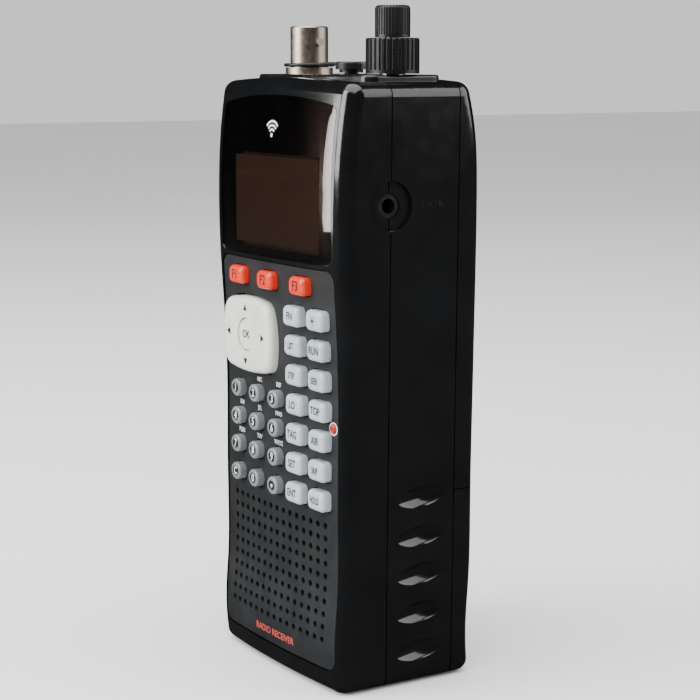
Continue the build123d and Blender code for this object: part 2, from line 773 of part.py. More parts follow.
# ---------------------------------------------------------------- antenna connector
with BuildPart() as bnc_connector:
    with BuildSketch(Plane.XY.offset(141.0)):
        with Locations((BNC_X, AXIS_Y)):
            Circle(BNC_RADIUS - 0.05)
    extrude(amount=8.0)
    with BuildSketch(Plane.XY.offset(149.0)):
        with Locations((BNC_X, AXIS_Y)):
            Circle(BNC_RADIUS)
    extrude(amount=BNC_TOP - 149.0)
    with BuildSketch(Plane.XY.offset(142.4)):
        with Locations((BNC_X, AXIS_Y)):
            RegularPolygon(6.6, 6)
    extrude(amount=1.8)
    chamfer(bnc_connector.faces().sort_by(Axis.Z)[-1].edges(), 0.35)
    with BuildSketch(Plane.XY.offset(BNC_TOP)):
        with Locations((BNC_X, AXIS_Y)):
            Circle(BNC_BORE)
    extrude(amount=-BNC_MOUTH, mode=Mode.SUBTRACT)
    with BuildSketch(Plane.XY.offset(BNC_TOP)):
        with Locations((BNC_X, AXIS_Y)):
            Circle(BNC_BORE - 0.2)
    extrude(amount=-BNC_DEPTH, mode=Mode.SUBTRACT)
    with BuildSketch(Plane.XY.offset(138.0)):
        with Locations((BNC_X, AXIS_Y)):
            Circle(2.4)
    extrude(amount=3.0)
    with BuildSketch(Plane.YZ.offset(BNC_X - 5.6)):
        with Locations((AXIS_Y, 156.4)):
            Circle(0.95)
    extrude(amount=1.3)
    with BuildSketch(Plane.YZ.offset(BNC_X + 5.6)):
        with Locations((AXIS_Y, 156.4)):
            Circle(0.95)
    extrude(amount=-1.3)
    with BuildSketch(Plane.XY.offset(PLATE_TOP + 0.02)):
        with Locations((BNC_X, AXIS_Y)):
            Circle(6.0)
            Circle(BNC_RADIUS + 0.02, mode=Mode.SUBTRACT)
    extrude(amount=1.6)
finish(bnc_connector.part, "bnc_connector")

with BuildPart() as bnc_insulator:
    with BuildSketch(Plane.XY.offset(BNC_TOP - BNC_DEPTH)):
        with Locations((BNC_X, AXIS_Y)):
            Circle(2.4)
    extrude(amount=4.4)
    with BuildSketch(Plane.XY.offset(BNC_TOP - 4.6)):
        with Locations((BNC_X, AXIS_Y)):
            Circle(0.55)
    extrude(amount=-3.5, mode=Mode.SUBTRACT)
finish(bnc_insulator.part, "bnc_insulator")

# ---------------------------------------------------------------- rubber cap and its strap
RING_Z = 150.3
RING_THICK = 0.9
RING_RADIUS = 6.5
CAP_RADIUS = 3.9
with BuildPart() as jack_cap:
    with BuildSketch(Plane.XY.offset(149.7)):
        with Locations((CAP_X, AXIS_Y)):
            Circle(CAP_RADIUS)
        with Locations((CAP_X + 3.4, AXIS_Y + 1.8)):
            SlotCenterToCenter(4.4, 3.0, rotation=28)
    extrude(amount=1.9)
    fillet(jack_cap.faces().sort_by(Axis.Z)[-1].edges(), 0.5)
    with BuildSketch(Plane.XY.offset(148.9)):
        with Locations((CAP_X, AXIS_Y)):
            Circle(2.95)
    extrude(amount=0.8)
    with BuildSketch(Plane.XY.offset(143.9)):
        with Locations((CAP_X, AXIS_Y)):
            Circle(1.65)
    extrude(amount=5.0)
finish(jack_cap.part, "jack_cap")

with BuildPart() as cap_tether:
    with BuildSketch(Plane.XY.offset(RING_Z)):
        with Locations((BNC_X, AXIS_Y)):
            Circle(RING_RADIUS)
        strap_end = CAP_X - CAP_RADIUS - 0.15
        strap_start = BNC_X + RING_RADIUS - 1.0
        with Locations(((strap_start + strap_end) / 2, AXIS_Y)):
            Rectangle(strap_end - strap_start, 3.0)
        with Locations((BNC_X, AXIS_Y)):
            Circle(BNC_RADIUS + 0.05, mode=Mode.SUBTRACT)
    extrude(amount=RING_THICK)
finish(cap_tether.part, "cap_tether")

# ---------------------------------------------------------------- audio jacks
JACK_HOLE = 1.8
with BuildPart() as audio_jacks:
    with BuildSketch(Plane.XY.offset(131.0)):
        with Locations((CAP_X, AXIS_Y)):
            Rectangle(9, 8)
    extrude(amount=13.4)
    with BuildSketch(Plane.XY.offset(144.4)):
        with Locations((CAP_X, AXIS_Y)):
            Circle(3.8)
    extrude(amount=4.3)
    with BuildSketch(Plane.XY.offset(148.7)):
        with Locations((CAP_X, AXIS_Y)):
            Circle(JACK_HOLE)
    extrude(amount=-16.0, mode=Mode.SUBTRACT)
    with BuildSketch(Plane.YZ.offset(16.0)):
        with Locations((SPLIT_FRONT, DATA_Z)):
            Rectangle(8, 9)
    extrude(amount=DATA_X - WALL - 0.2 - 16.0)
    with BuildSketch(Plane.YZ.offset(DATA_X - WALL - 0.2)):
        with Locations((SPLIT_FRONT, DATA_Z)):
            Circle(2.85)
    extrude(amount=1.3)
    with BuildSketch(Plane.YZ.offset(DATA_X)):
        with Locations((SPLIT_FRONT, DATA_Z)):
            Circle(JACK_HOLE)
    extrude(amount=-14.0, mode=Mode.SUBTRACT)
finish(audio_jacks.part, "audio_jacks")

# ---------------------------------------------------------------- dual control
with BuildPart() as control_pot:
    with BuildSketch(Plane.XY.offset(132.0)):
        with Locations((KNOB_X, AXIS_Y)):
            Rectangle(11, 11)
    extrude(amount=11.6)
    with BuildSketch(Plane.XY.offset(143.6)):
        with Locations((KNOB_X, AXIS_Y)):
            Circle(4.2)
    extrude(amount=4.7)
    with BuildSketch(Plane.XY.offset(148.3)):
        with Locations((KNOB_X, AXIS_Y)):
            Circle(3.05)
    extrude(amount=-4.2, mode=Mode.SUBTRACT)
finish(control_pot.part, "control_pot")

with BuildPart() as squelch_shaft:
    with BuildSketch(Plane.XY.offset(144.2)):
        with Locations((KNOB_X, AXIS_Y)):
            Circle(3.0)
            Circle(1.6, mode=Mode.SUBTRACT)
    extrude(amount=SQUELCH_TOP - 1.0 - 144.2)
finish(squelch_shaft.part, "squelch_shaft")

with BuildPart() as volume_shaft:
    with BuildSketch(Plane.XY.offset(144.2)):
        with Locations((KNOB_X, AXIS_Y)):
            Circle(1.55)
    extrude(amount=VOLUME_TOP - 2.0 - 144.2)
finish(volume_shaft.part, "volume_shaft")

SQUELCH_RIBS = 30
VOLUME_RIBS = 36
with BuildPart() as squelch_knob:
    with BuildSketch(Plane.XY.offset(148.75)):
        with Locations((KNOB_X, AXIS_Y)):
            Circle(SQUELCH_RADIUS)
    extrude(amount=SQUELCH_TOP - 148.75)
    fillet(squelch_knob.faces().sort_by(Axis.Z)[-1].edges(), 0.5)
    with BuildSketch(Plane.XY.offset(149.6)):
        with Locations((KNOB_X, AXIS_Y)):
            with PolarLocations(SQUELCH_RADIUS + 0.1, SQUELCH_RIBS):
                Circle(0.42)
    extrude(amount=10, mode=Mode.SUBTRACT)
    with BuildSketch(Plane.XY.offset(148.0)):
        with Locations((KNOB_X, AXIS_Y)):
            Circle(3.02)
    extrude(amount=12, mode=Mode.SUBTRACT)
finish(squelch_knob.part, "squelch_knob")

with BuildPart() as volume_knob:
    with BuildSketch(Plane.XY.offset(SQUELCH_TOP + 0.15)):
        with Locations((KNOB_X, AXIS_Y)):
            Circle(VOLUME_RADIUS)
    extrude(amount=VOLUME_TOP - SQUELCH_TOP - 0.15)
    fillet(volume_knob.faces().sort_by(Axis.Z)[-1].edges(), 0.9)
    with BuildSketch(Plane.XY.offset(SQUELCH_TOP + 0.8)):
        with Locations((KNOB_X, AXIS_Y)):
            with PolarLocations(VOLUME_RADIUS + 0.06, VOLUME_RIBS):
                Circle(0.24)
    extrude(amount=10, mode=Mode.SUBTRACT)
    with BuildSketch(Plane.XY.offset(SQUELCH_TOP)):
        with Locations((KNOB_X, AXIS_Y)):
            Circle(1.57)
    extrude(amount=VOLUME_TOP - 1.9 - SQUELCH_TOP, mode=Mode.SUBTRACT)
finish(volume_knob.part, "volume_knob")

# ---------------------------------------------------------------- feet and screws
feet_solid = foot_tools(0.0, FOOT_DEPTH)
finish(feet_solid, "feet")

with BuildPart() as case_screws:
    for x, z in SCREW_POINTS:
        seat = UPPER_SEAT if (x, z) in UPPER_SCREWS else LOWER_SEAT
        with BuildSketch(facing(seat + 1.7)):
            with Locations((x, z)):
                Circle(SCREW_HEAD)
        extrude(amount=1.65)
        with BuildSketch(facing(seat + 0.05)):
            with Locations((x, z)):
                Circle(SCREW_RADIUS - 0.12)
        extrude(amount=seat + 0.05 - SCREW_TIP)
        with BuildSketch(facing(seat + 1.7)):
            with Locations((x, z)):
                Rectangle(2.4, 0.5)
                Rectangle(0.5, 2.4)
        extrude(amount=0.8, mode=Mode.SUBTRACT)
finish(case_screws.part, "case_screws")
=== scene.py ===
import json
import math

import bmesh
import bpy
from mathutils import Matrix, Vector


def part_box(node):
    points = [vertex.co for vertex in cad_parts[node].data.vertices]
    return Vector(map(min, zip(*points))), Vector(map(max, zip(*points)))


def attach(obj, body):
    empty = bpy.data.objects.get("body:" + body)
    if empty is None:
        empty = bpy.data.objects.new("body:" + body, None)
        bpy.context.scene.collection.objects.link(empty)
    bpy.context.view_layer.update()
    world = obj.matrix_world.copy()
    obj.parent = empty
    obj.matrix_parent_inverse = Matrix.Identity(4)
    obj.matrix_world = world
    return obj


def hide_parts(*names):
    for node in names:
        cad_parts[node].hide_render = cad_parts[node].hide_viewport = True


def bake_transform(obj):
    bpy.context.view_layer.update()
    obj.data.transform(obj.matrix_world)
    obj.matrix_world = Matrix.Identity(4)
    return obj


# Looks of the handheld radio scanner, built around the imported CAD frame. Metres throughout.

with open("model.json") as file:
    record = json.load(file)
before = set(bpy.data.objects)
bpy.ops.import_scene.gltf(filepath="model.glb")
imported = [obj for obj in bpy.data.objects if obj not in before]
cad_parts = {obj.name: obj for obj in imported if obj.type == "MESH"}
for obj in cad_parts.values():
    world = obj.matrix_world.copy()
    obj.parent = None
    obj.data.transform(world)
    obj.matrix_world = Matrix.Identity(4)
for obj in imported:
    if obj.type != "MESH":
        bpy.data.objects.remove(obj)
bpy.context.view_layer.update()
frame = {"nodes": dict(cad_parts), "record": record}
MM = 0.001
NODES = frame["nodes"]

# ---------------------------------------------------------------- camera, light and stage
CAMERA_AT = (0.38839, -0.24151, 0.15123)
CAMERA_PITCH = math.radians(90 - 8.896)
CAMERA_TURN = math.radians(57.823)
CAMERA_LENS = 94.3


def add_camera():
    data = bpy.data.cameras.new("photo_camera")
    data.lens = CAMERA_LENS
    data.sensor_width = 36.0
    data.clip_start = 0.01
    camera = bpy.data.objects.new("photo_camera", data)
    camera.location = CAMERA_AT
    camera.rotation_euler = (CAMERA_PITCH, 0, CAMERA_TURN)
    bpy.context.collection.objects.link(camera)
    bpy.context.scene.camera = camera


def add_softbox(name, at, towards, size, power):
    data = bpy.data.lights.new(name, "AREA")
    data.shape = "RECTANGLE"
    data.size, data.size_y = size
    data.energy = power
    light = bpy.data.objects.new(name, data)
    light.location = at
    light.rotation_euler = (Vector(towards) - Vector(at)).to_track_quat("-Z", "Y").to_euler()
    bpy.context.collection.objects.link(light)


def add_world():
    """Pale to the eye; a dimmer room in reflections, so that black gloss stays black."""
    world = bpy.data.worlds.new("studio")
    bpy.context.scene.world = world
    world.use_nodes = True
    tree = world.node_tree
    tree.nodes.clear()
    out = tree.nodes.new("ShaderNodeOutputWorld")
    mix = tree.nodes.new("ShaderNodeMixShader")
    path = tree.nodes.new("ShaderNodeLightPath")
    seen = tree.nodes.new("ShaderNodeBackground")
    room = tree.nodes.new("ShaderNodeBackground")
    seen.inputs["Color"].default_value = (0.95, 0.955, 0.96, 1)
    seen.inputs["Strength"].default_value = 0.95
    room.inputs["Color"].default_value = (0.9, 0.93, 1.0, 1)
    room.inputs["Strength"].default_value = 0.012
    dull = tree.nodes.new("ShaderNodeMath")
    dull.operation = "SUBTRACT"
    dull.inputs[0].default_value = 1.0
    tree.links.new(path.outputs["Is Glossy Ray"], dull.inputs[1])
    tree.links.new(dull.outputs[0], mix.inputs[0])
    tree.links.new(room.outputs[0], mix.inputs[1])
    tree.links.new(seen.outputs[0], mix.inputs[2])
    tree.links.new(mix.outputs[0], out.inputs["Surface"])


# ---------------------------------------------------------------- materials
def new_material(name):
    material = bpy.data.materials.new(name)
    material.use_nodes = True
    shader = material.node_tree.nodes["Principled BSDF"]
    return material, material.node_tree, shader


def noise(tree, scale, detail=4.0, stretch=(1, 1, 1)):
    coords = tree.nodes.new("ShaderNodeTexCoord")
    mapping = tree.nodes.new("ShaderNodeMapping")
    mapping.inputs["Scale"].default_value = stretch
    texture = tree.nodes.new("ShaderNodeTexNoise")
    texture.inputs["Scale"].default_value = scale
    texture.inputs["Detail"].default_value = detail
    tree.links.new(coords.outputs["Object"], mapping.inputs["Vector"])
    tree.links.new(mapping.outputs["Vector"], texture.inputs["Vector"])
    return texture.outputs["Fac"]


def spread(tree, source, low, high):
    """Number socket that runs from low to high as the source runs from 0.3 to 0.7."""
    band = tree.nodes.new("ShaderNodeMapRange")
    band.inputs["From Min"].default_value = 0.3
    band.inputs["From Max"].default_value = 0.7
    band.inputs["To Min"].default_value = low
    band.inputs["To Max"].default_value = high
    tree.links.new(source, band.inputs["Value"])
    return band.outputs["Result"]


def tint(tree, source, dark, light):
    ramp = tree.nodes.new("ShaderNodeValToRGB")
    ramp.color_ramp.elements[0].position = 0.3
    ramp.color_ramp.elements[1].position = 0.7
    ramp.color_ramp.elements[0].color = (*dark, 1)
    ramp.color_ramp.elements[1].color = (*light, 1)
    tree.links.new(source, ramp.inputs["Fac"])
    return ramp.outputs["Color"]


def add_bump(tree, shader, heights, strength, distance):
    bump = tree.nodes.new("ShaderNodeBump")
    bump.inputs["Strength"].default_value = strength
    bump.inputs["Distance"].default_value = distance
    tree.links.new(heights, bump.inputs["Height"])
    tree.links.new(bump.outputs["Normal"], shader.inputs["Normal"])


def plastic(name, dark, light, rough, grain, depth, coat=0.0, subsurface=0.0, stretch=(1, 1, 1)):
    """Moulded plastic or rubber: mottled colour, uneven gloss, fine surface grain."""
    material, tree, shader = new_material(name)
    cloud = noise(tree, 90.0, 6.0, stretch)
    tree.links.new(tint(tree, cloud, dark, light), shader.inputs["Base Color"])
    tree.links.new(spread(tree, noise(tree, 260.0, 5.0), *rough), shader.inputs["Roughness"])
    add_bump(tree, shader, noise(tree, grain, 3.0, stretch), 0.35, depth)
    shader.inputs["Coat Weight"].default_value = coat
    shader.inputs["Coat Roughness"].default_value = 0.06
    if subsurface:
        shader.inputs["Subsurface Weight"].default_value = subsurface
        shader.inputs["Subsurface Radius"].default_value = (1.0, 0.9, 0.8)
        shader.inputs["Subsurface Scale"].default_value = 0.0012
    return material


def metal(name, dark, light, rough, stretch):
    material, tree, shader = new_material(name)
    streaks = noise(tree, 700.0, 6.0, stretch)
    tree.links.new(tint(tree, streaks, dark, light), shader.inputs["Base Color"])
    tree.links.new(spread(tree, noise(tree, 900.0, 4.0), *rough), shader.inputs["Roughness"])
    shader.inputs["Metallic"].default_value = 1.0
    add_bump(tree, shader, streaks, 0.25, 0.00002)
    return material


def smoked_lens():
    material, tree, shader = new_material("lens_acrylic")
    shader.inputs["Base Color"].default_value = (0.62, 0.50, 0.47, 1)
    shader.inputs["Transmission Weight"].default_value = 1.0
    shader.inputs["IOR"].default_value = 1.49
    tree.links.new(spread(tree, noise(tree, 60.0, 2.0), 0.004, 0.008), shader.inputs["Roughness"])
    return material


def display_glass():
    """Display with its backlight off: brown-olive glass with a faint pixel grid. Its weak glow is
    painted light, standing in for lamp light that reaches it through the lens.
    """
    material, tree, shader = new_material("display_glass")
    coords = tree.nodes.new("ShaderNodeTexCoord")
    grid = tree.nodes.new("ShaderNodeTexChecker")
    grid.inputs["Scale"].default_value = 3200.0
    grid.inputs["Color1"].default_value = (0.085, 0.066, 0.044, 1)
    grid.inputs["Color2"].default_value = (0.064, 0.050, 0.034, 1)
    tree.links.new(coords.outputs["Object"], grid.inputs["Vector"])
    tree.links.new(grid.outputs["Color"], shader.inputs["Base Color"])
    # Painted light: the pixel grid also feeds a weak emission, a glow in place of the lamp light
    # that would reach the display through the lens.
    tree.links.new(grid.outputs["Color"], shader.inputs["Emission Color"])
    shader.inputs["Emission Strength"].default_value = 0.25
    tree.links.new(spread(tree, noise(tree, 400.0), 0.24, 0.27), shader.inputs["Roughness"])
    return material


GLOSS = plastic("case_gloss", (0.0030, 0.0032, 0.0035), (0.0050, 0.0053, 0.0056), (0.12, 0.2),
                900.0, 0.000004, coat=0.5)
PANEL = plastic("panel_matte", (0.0085, 0.0095, 0.0105), (0.0125, 0.014, 0.015), (0.44, 0.6),
                5200.0, 0.00003)
TRIM = plastic("trim_satin", (0.005, 0.005, 0.0055), (0.009, 0.009, 0.0095), (0.18, 0.30),
               2600.0, 0.00001, coat=0.3)
KNOB = plastic("knob_ribbed", (0.004, 0.0042, 0.0045), (0.009, 0.0094, 0.0098), (0.26, 0.42),
               4200.0, 0.00004)
RUBBER = plastic("black_rubber", (0.006, 0.006, 0.006), (0.012, 0.012, 0.0125), (0.34, 0.5),
                 3200.0, 0.00003)
ORANGE = plastic("key_orange", (0.62, 0.022, 0.006), (0.74, 0.036, 0.010), (0.24, 0.36),
                 1600.0, 0.000006, coat=0.3, subsurface=0.15)
PALE = plastic("key_pale", (0.37, 0.425, 0.455), (0.45, 0.505, 0.53), (0.22, 0.36),
               1600.0, 0.000006, coat=0.4, subsurface=0.35)
IVORY = plastic("nav_ivory", (0.60, 0.61, 0.55), (0.69, 0.695, 0.635), (0.2, 0.3),
                1500.0, 0.000006, coat=0.35, subsurface=0.4)
GREY = plastic("key_grey", (0.15, 0.16, 0.165), (0.21, 0.225, 0.23), (0.24, 0.36),
               1600.0, 0.000006, coat=0.4)
DISH = plastic("key_dish", (0.012, 0.013, 0.014), (0.022, 0.023, 0.024), (0.16, 0.3),
               2000.0, 0.000006, coat=0.4)
INK_WHITE = plastic("ink_white", (0.62, 0.63, 0.63), (0.74, 0.75, 0.75), (0.45, 0.6),
                    5000.0, 0.000005)
INK_DARK = plastic("ink_dark", (0.010, 0.010, 0.011), (0.02, 0.02, 0.021), (0.45, 0.6),
                   5000.0, 0.000005)
INK_RED = plastic("ink_red", (0.42, 0.035, 0.03), (0.52, 0.055, 0.045), (0.45, 0.6),
                  5000.0, 0.000005)
LAMP = plastic("lamp_red", (0.35, 0.015, 0.02), (0.5, 0.03, 0.035), (0.12, 0.2),
               900.0, 0.000004, coat=0.6, subsurface=0.3)
BOARD = plastic("circuit_green", (0.01, 0.08, 0.03), (0.02, 0.13, 0.05), (0.3, 0.45),
                3000.0, 0.00002)
SILICONE = plastic("silicone_grey", (0.26, 0.26, 0.25), (0.34, 0.34, 0.33), (0.5, 0.65),
                   2400.0, 0.00002)
CONE = plastic("speaker_cone", (0.008, 0.008, 0.008), (0.016, 0.016, 0.016), (0.6, 0.85),
               2400.0, 0.00005)
JACKET = plastic("cell_jacket", (0.22, 0.23, 0.26), (0.30, 0.31, 0.34), (0.2, 0.32),
                 1200.0, 0.000008, coat=0.3)
TEFLON = plastic("white_insulator", (0.72, 0.70, 0.65), (0.82, 0.80, 0.75), (0.4, 0.55),
                 1800.0, 0.00001)
NICKEL = metal("nickel_warm", (0.46, 0.385, 0.315), (0.53, 0.45, 0.375), (0.3, 0.4), (1, 1, 0.12))
STEEL = metal("screw_black", (0.08, 0.08, 0.085), (0.16, 0.16, 0.165), (0.3, 0.45), (1, 1, 1))
ZINC = metal("zinc_plate", (0.42, 0.42, 0.42), (0.62, 0.62, 0.61), (0.25, 0.4), (1, 1, 0.3))
LENS = smoked_lens()
DISPLAY = display_glass()

BY_SLOT = {
    "case_gloss": GLOSS, "panel_matte": PANEL, "lens": LENS, "display": DISPLAY,
    "silicone": SILICONE, "circuit_board": BOARD, "speaker_paper": CONE, "nickel": NICKEL,
    "insulator": TEFLON, "rubber_trim": RUBBER, "jack_plastic": TRIM, "trim_plastic": TRIM,
    "pot_metal": ZINC, "knob_plastic": KNOB, "cell_jacket": JACKET, "screw_steel": STEEL,
    "led_red": LAMP, "nav_ivory": IVORY, "key_orange": ORANGE, "key_pale": PALE,
    "key_grey": GREY,
}


def dress_nodes():
    for part in frame["record"]["subparts"]:
        mesh = NODES[part["node"]].data
        mesh.materials.clear()
        mesh.materials.append(BY_SLOT[part["material_slot"]])


# ---------------------------------------------------------------- helpers for added pieces
def surface(node, x, z):
    """Y of a node's front surface at (x, z), or None over a hole."""
    hit, place, _, _ = NODES[node].ray_cast(Vector((x, -0.1, z)), Vector((0, 1, 0)))
    return place.y if hit else None


def side_surface(node, y, z):
    """X of a node's right-hand surface at (y, z), or None over a hole."""
    hit, place, _, _ = NODES[node].ray_cast(Vector((0.1, y, z)), Vector((-1, 0, 0)))
    return place.x if hit else None


def add_piece(name, mesh, body, material):
    piece = bpy.data.objects.new(name, mesh)
    bpy.context.collection.objects.link(piece)
    piece.data.materials.clear()
    piece.data.materials.append(material)
    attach(piece, body)


def text_mesh(text, height, narrow=0.86):
    """Flat lettering in the XY plane, centred, of the given capital height."""
    curve = bpy.data.curves.new("lettering", "FONT")
    curve.body = text
    curve.align_x = "CENTER"
    curve.align_y = "CENTER"
    curve.size = height * 1.4
    curve.resolution_u = 3
    curve.offset = height * (0.022 if height > 1.3 * MM else 0.012)
    curve.extrude = 0.00001
    holder = bpy.data.objects.new("lettering", curve)
    bpy.context.collection.objects.link(holder)
    bpy.context.view_layer.update()
    graph = bpy.context.evaluated_depsgraph_get()
    mesh = bpy.data.meshes.new_from_object(holder.evaluated_get(graph))
    bpy.data.objects.remove(holder)
    for vertex in mesh.vertices:
        vertex.co.x *= narrow
    return mesh


INK_RISE = 0.03 * MM
BESIDE_A_HOLE = 2.2 * MM
DEEPEST_BOW = 0.8 * MM


def print_on(name, mesh, node, x, z, body, material):
    """Lays a flat XY mesh on a node's front surface, following its bow."""
    middle = surface(node, x, z) or surface(node, x - BESIDE_A_HOLE, z)
    for vertex in mesh.vertices:
        px, pz, lift = x + vertex.co.x, z + vertex.co.y, vertex.co.z
        py = surface(node, px, pz)
        if py is None or abs(py - middle) > DEEPEST_BOW:
            py = middle
        vertex.co = (px, py - INK_RISE - lift, pz)
    add_piece(name, mesh, body, material)


def smooth_mesh(name, work):
    """Turns finished mesh work into a smooth-shaded mesh with its faces outward."""
    bmesh.ops.recalc_face_normals(work, faces=work.faces)
    mesh = bpy.data.meshes.new(name)
    work.to_mesh(mesh)
    work.free()
    for face in mesh.polygons:
        face.use_smooth = True
    return mesh


def polygon_mesh(name, outlines):
    """Flat mesh from lists of XY corners."""
    mesh = bpy.data.meshes.new(name)
    work = bmesh.new()
    for outline in outlines:
        work.faces.new([work.verts.new((x, y, 0)) for x, y in outline])
    work.to_mesh(mesh)
    work.free()
    return mesh


def ring_mesh(name, inner, outer, start=0.0, end=360.0, steps=48):
    """Flat ring or arc of a ring in the XY plane."""
    mesh = bpy.data.meshes.new(name)
    work = bmesh.new()
    closed = end - start >= 360.0
    count = steps if closed else steps + 1
    rows = []
    for index in range(count):
        angle = math.radians(start + (end - start) * index / steps)
        rows.append([work.verts.new((r * math.cos(angle), r * math.sin(angle), 0))
                     for r in (inner, outer)])
    for index in range(steps):
        here, there = rows[index], rows[(index + 1) % count]
        work.faces.new((here[0], there[0], there[1], here[1]))
    work.to_mesh(mesh)
    work.free()
    return mesh


# ---------------------------------------------------------------- keys
SOFT_LABELS = ["F1", "F2", "F3"]
FUNCTION_LABELS = [["FN", ""], ["LIST", "RUN"], ["STEP", "SEEK"], ["LO", "TOP"],
                   ["TAG", "AIR"], ["SET", "SKIP"], ["ENT", "HOLD"]]
NUMBER_LABELS = [["1", "2", "3"], ["4", "5", "6"], ["7", "8", "9"], ["C", "0", "."]]
LETTER_GROUPS = [["", "ABC", "DEF"], ["GHI", "JKL", "MNO"], ["PQRS", "TUV", "WXYZ"]]


def centre(node):
    low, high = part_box(node)
    return (low[0] + high[0]) / 2, low[1], (low[2] + high[2]) / 2


def label_key(node, text, height, material, narrow=0.86):
    x, _, z = centre(node)
    print_on(node + "_label", text_mesh(text, height, narrow), node, x, z, node, material)


def add_key_dish(node):
    """Dark dished centre of a round key, with a shallow bowl shape."""
    x, front, z = centre(node)
    rings, segments = 7, 40
    half_x, half_z, sink = 1.62 * MM, 1.46 * MM, 0.26 * MM
    work = bmesh.new()
    hub = work.verts.new((x, front + sink, z))
    last = None
    for ring in range(1, rings + 1):
        t = ring / rings
        depth = sink * (1 - t * t) - 0.02 * MM
        row = []
        for index in range(segments):
            angle = 2 * math.pi * index / segments
            row.append(work.verts.new((x + half_x * t * math.cos(angle), front + depth,
                                       z + half_z * t * math.sin(angle))))
        for index in range(segments):
            after = (index + 1) % segments
            if last is None:
                work.faces.new((hub, row[index], row[after]))
            else:
                work.faces.new((last[index], row[index], row[after], last[after]))
        last = row
    add_piece(node + "_dish", smooth_mesh(node + "_dish", work), node, DISH)


def add_number_label(node, text):
    x, front, z = centre(node)
    if text == ".":
        mesh = ring_mesh("point", 0.01 * MM, 0.42 * MM)
    else:
        mesh = text_mesh(text, 1.95 * MM)
    for vertex in mesh.vertices:
        px, pz = vertex.co.x, vertex.co.y
        vertex.co = (x + px, front + 0.02 * MM - vertex.co.z, z + pz)
    add_piece(node + "_label", mesh, node, INK_WHITE)


def sun_mesh():
    """Lamp symbol: a disc with eight short rays."""
    shapes = [[(0.5 * MM * math.cos(a), 0.5 * MM * math.sin(a))
               for a in [math.radians(20 * i) for i in range(18)]]]
    for index in range(8):
        angle = math.radians(45 * index)
        along = Vector((math.cos(angle), math.sin(angle)))
        across = Vector((-along.y, along.x)) * 0.09 * MM
        near, far = along * 0.78 * MM, along * 1.2 * MM
        shapes.append([tuple(near - across), tuple(far - across), tuple(far + across),
                       tuple(near + across)])
    return polygon_mesh("lamp_symbol", shapes)


def dress_keys():
    for column, text in enumerate(SOFT_LABELS):
        label_key(f"key_f{column + 1}", text, 2.4 * MM, INK_DARK)
    for row, texts in enumerate(FUNCTION_LABELS):
        for column, text in enumerate(texts):
            node = f"key_fn_{row + 1}_{column + 1}"
            if text:
                long = len(text) > 3
                label_key(node, text, 1.6 * MM if long else 1.9 * MM, INK_DARK,
                          0.66 if long else 0.82)
            else:
                x, _, z = centre(node)
                print_on(node + "_label", sun_mesh(), node, x, z, node, INK_DARK)
    for row, texts in enumerate(NUMBER_LABELS):
        for column, text in enumerate(texts):
            node = f"key_num_{row + 1}_{column + 1}"
            add_key_dish(node)
            add_number_label(node, text)
    for row, texts in enumerate(LETTER_GROUPS):
        for column, text in enumerate(texts):
            if not text:
                continue
            x, _, z = centre(f"key_num_{row + 1}_{column + 1}")
            print_on(f"letters_{text.lower()}", text_mesh(text, 1.15 * MM), "keypad_panel",
                     x, z + 3.35 * MM, "case", INK_WHITE)


# ---------------------------------------------------------------- rocker
def dress_rocker():
    x, _, z = centre("nav_pad")
    reach_x, reach_z = 8.6 * MM, 6.9 * MM
    half, tall = 0.95 * MM, 1.7 * MM
    arrow = [(-half, -tall / 2), (half, -tall / 2), (0, tall / 2)]
    turns = {"up": (0, 0, reach_z), "right": (-90, reach_x, 0), "down": (180, 0, -reach_z),
             "left": (90, -reach_x, 0)}
    for name, (turn, dx, dz) in turns.items():
        angle = math.radians(turn)
        corners = [(px * math.cos(angle) - py * math.sin(angle),
                    px * math.sin(angle) + py * math.cos(angle)) for px, py in arrow]
        print_on(f"nav_arrow_{name}", polygon_mesh(name, [corners]), "nav_pad", x + dx, z + dz,
                 "nav_pad", INK_DARK)
    x, _, z = centre("nav_select")
    print_on("nav_select_label", text_mesh("OK", 2.0 * MM), "nav_select", x, z, "nav_select",
             INK_DARK)


def add_nav_ridges():
    """Four low moulded ridges from the centre disc towards the pad's corners."""
    x, _, z = centre("nav_pad")
    near, far = 4.7 * MM, 10.6 * MM
    wide, rise = 0.42 * MM, 0.16 * MM
    steps = 14
    for number, angle in enumerate([38, 142, 218, 322]):
        turn = math.radians(angle)
        along = Vector((math.cos(turn), 0, math.sin(turn)))
        across = Vector((-along.z, 0, along.x))
        work = bmesh.new()
        rows = []
        for index in range(steps + 1):
            t = index / steps
            spine = Vector((x, 0, z)) + along * (near + (far - near) * t)
            swell = math.sin(math.pi * min(1.0, t * 1.15 + 0.02)) if t < 1 else 0.0
            row = []
            for side in (-1, -0.6, 0, 0.6, 1):
                spot = spine + across * wide * side * (0.5 + 0.5 * t)
                ground = surface("nav_pad", spot.x, spot.z)
                lift = rise * (1 - side * side) * max(swell, 0.25)
                row.append(work.verts.new((spot.x, ground - lift + 0.01 * MM, spot.z)))
            rows.append(row)
        for here, there in zip(rows, rows[1:]):
            for k in range(4):
                work.faces.new((here[k], there[k], there[k + 1], here[k + 1]))
        name = f"nav_ridge_{number + 1}"
        add_piece(name, smooth_mesh(name, work), "nav_pad", IVORY)


# ---------------------------------------------------------------- printed marks
CAPTION_Z = 8.9 * MM
CAPTION_HEIGHT = 1.75 * MM
SIGNAL_Z = 134.0 * MM
ARC_WIDTH = 0.5
JACK_WORD_AT = (6.2 * MM, 118.1 * MM)


